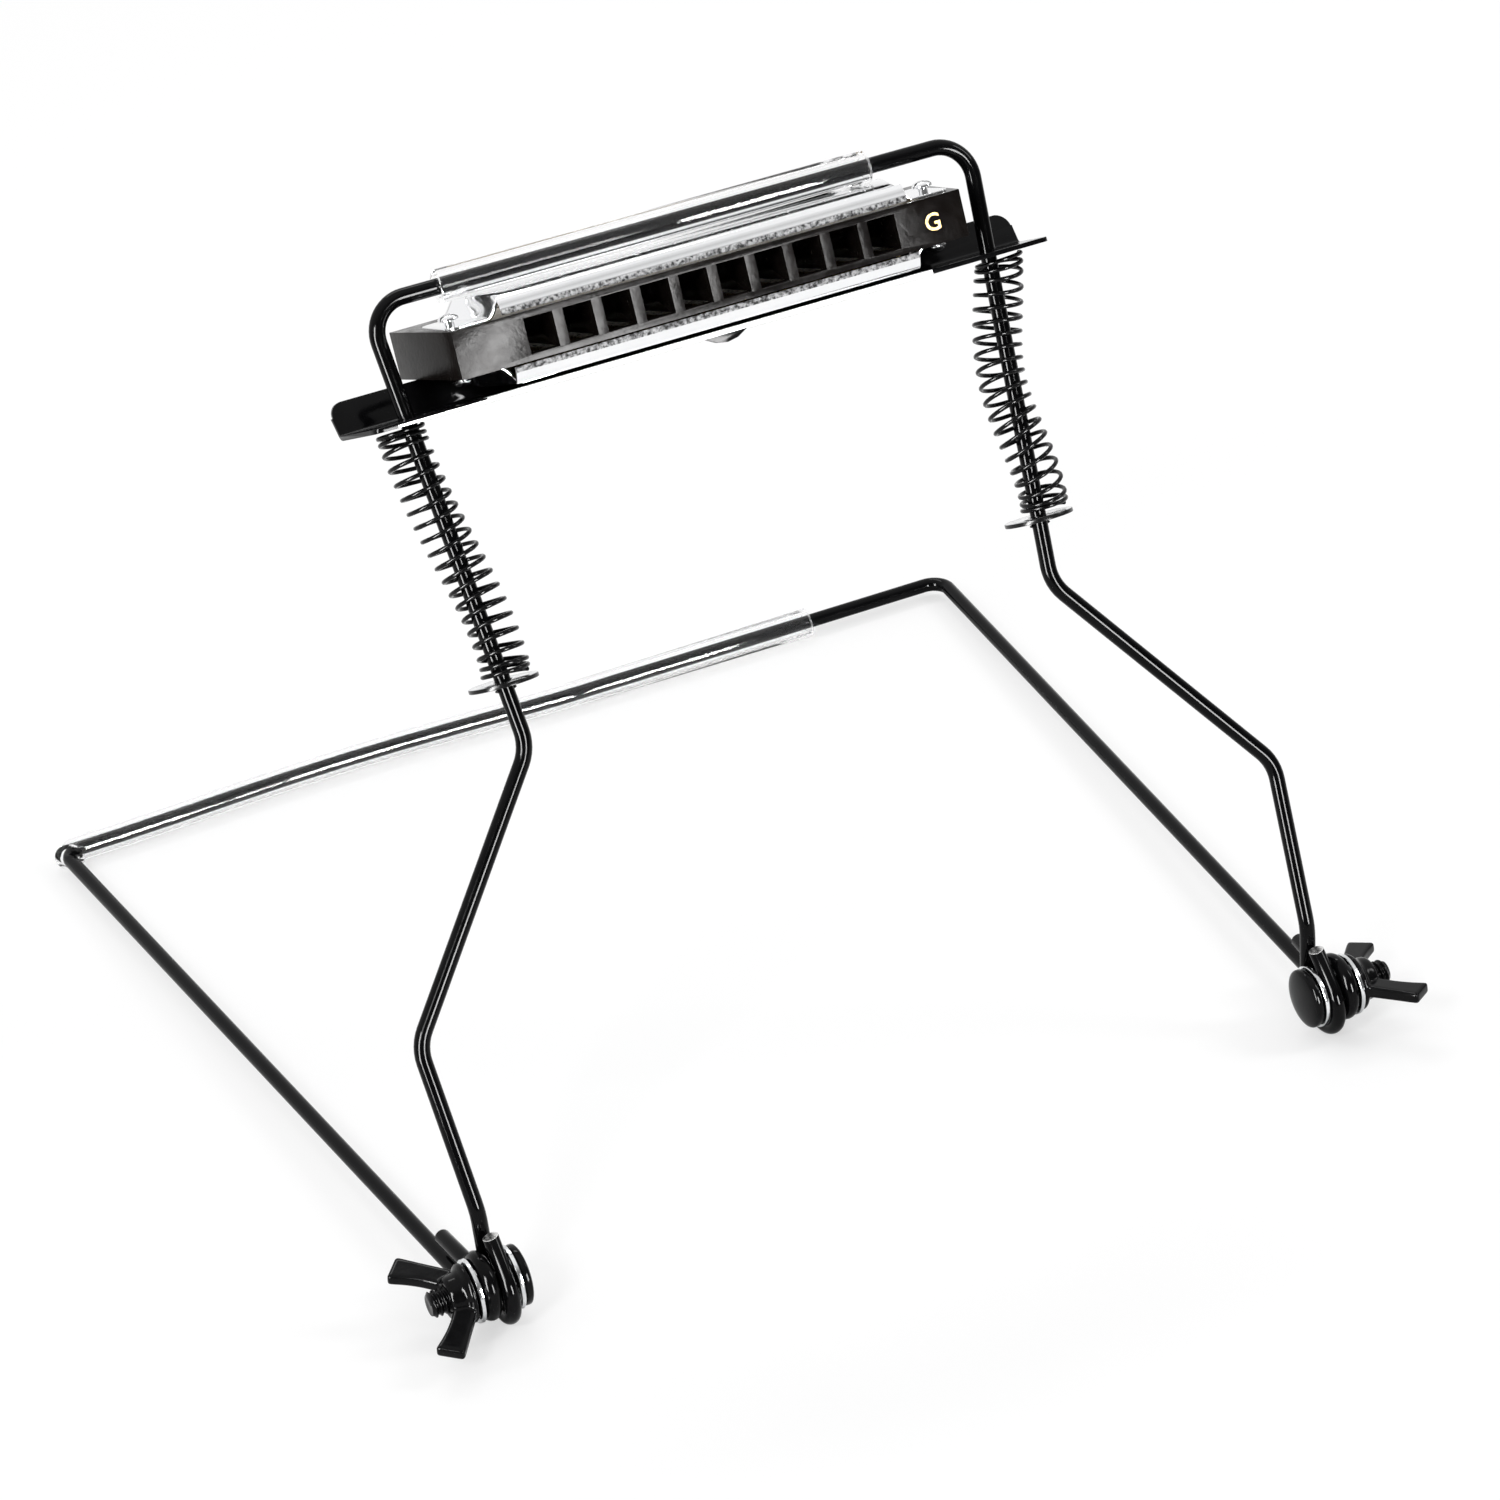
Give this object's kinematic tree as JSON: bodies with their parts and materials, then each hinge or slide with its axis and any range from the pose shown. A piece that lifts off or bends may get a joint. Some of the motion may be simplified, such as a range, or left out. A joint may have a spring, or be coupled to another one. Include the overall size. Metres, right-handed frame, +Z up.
{
  "type": "neck-worn harmonica holder with harmonica",
  "caption": "Bent-wire neck yoke carrying a hinged clamp frame whose sprung shelf presses a harmonica up against a padded bar, so that it can be played hands-free.",
  "frame": {"origin": "middle of the footprint of the whole holder, on the surface that it stands on", "axes": "+X to the right along the pivots' line, +Y from the pivots towards the neck bar, +Z up"},
  "size_m": [0.2084, 0.212, 0.1665],
  "materials": {
    "black_enamel": "gloss black enamel on steel wire",
    "black_sheet": "gloss black enamel on sheet steel",
    "black_spring": "black oxide spring wire",
    "black_hardware": "black plated steel, satin gloss",
    "zinc_steel": "bright zinc plate",
    "clear_sleeve": "clear flexible plastic sleeve",
    "comb_plastic": "gloss black moulded plastic",
    "reed_brass": "bare rolled brass",
    "cover_chrome": "polished chrome on pressed steel"
  },
  "bodies": {
    "yoke": {"neck_yoke": "black_enamel", "neck_sleeve": "clear_sleeve"},
    "frame": {"clamp_frame": "black_enamel", "clamp_sleeve": "clear_sleeve", "spring_left": "black_spring", "spring_right": "black_spring", "stop_washer_left": "zinc_steel", "stop_washer_right": "zinc_steel", "pivot_bolt_left": "black_hardware", "pivot_bolt_right": "black_hardware", "inner_washer_left": "zinc_steel", "inner_washer_right": "zinc_steel"},
    "shelf": {"shelf_plate": "black_sheet"},
    "harmonica": {"comb": "comb_plastic", "lower_reed_plate": "reed_brass", "upper_reed_plate": "reed_brass", "top_cover": "cover_chrome", "bottom_cover": "cover_chrome", "top_screw_left": "cover_chrome", "top_screw_right": "cover_chrome", "bottom_screw_left": "cover_chrome", "bottom_screw_right": "cover_chrome"},
    "washer_left": {"outer_washer_left": "zinc_steel"},
    "washer_right": {"outer_washer_right": "zinc_steel"},
    "nut_left": {"wing_nut_left": "black_hardware"},
    "nut_right": {"wing_nut_right": "black_hardware"}
  },
  "joints": [
    {"name": "frame_fold", "type": "hinge", "parent": "yoke", "child": "frame", "pos_m": [0.00031, -0.0932, 0.00829], "axis": [1, 0, 0], "continuous": true},
    {"name": "shelf_slide", "type": "slide", "parent": "frame", "child": "shelf", "axis": [0, 0.4352, 0.9003], "range_m": [-0.03, 0], "stiffness_N_per_m": 1700, "springref_m": 0.012, "deforming": ["spring_left", "spring_right"]},
    {"name": "harmonica_slide", "type": "slide", "parent": "shelf", "child": "harmonica", "axis": [0, -0.9379, 0.3469], "range_m": [0, 0.035]},
    {"name": "washer_left_slide", "type": "slide", "parent": "frame", "child": "washer_left", "axis": [-1, 0, 0], "range_m": [0, 0.0017]},
    {"name": "nut_left_turn", "type": "hinge", "parent": "washer_left", "child": "nut_left", "pos_m": [-0.094, -0.0932, 0.00829], "axis": [-1, 0, 0], "range_deg": [0, 720]},
    {"name": "washer_right_slide", "type": "slide", "parent": "frame", "child": "washer_right", "axis": [1, 0, 0], "range_m": [0, 0.0017]},
    {"name": "nut_right_turn", "type": "hinge", "parent": "washer_right", "child": "nut_right", "pos_m": [0.0946, -0.0932, 0.00829], "axis": [1, 0, 0], "range_deg": [0, 720]}
  ],
  "couplings": [
    {"joint": "washer_left_slide", "follows": "nut_left_turn", "m_per_rad": 0.00012732},
    {"joint": "washer_right_slide", "follows": "nut_right_turn", "m_per_rad": 0.00012732}
  ]
}
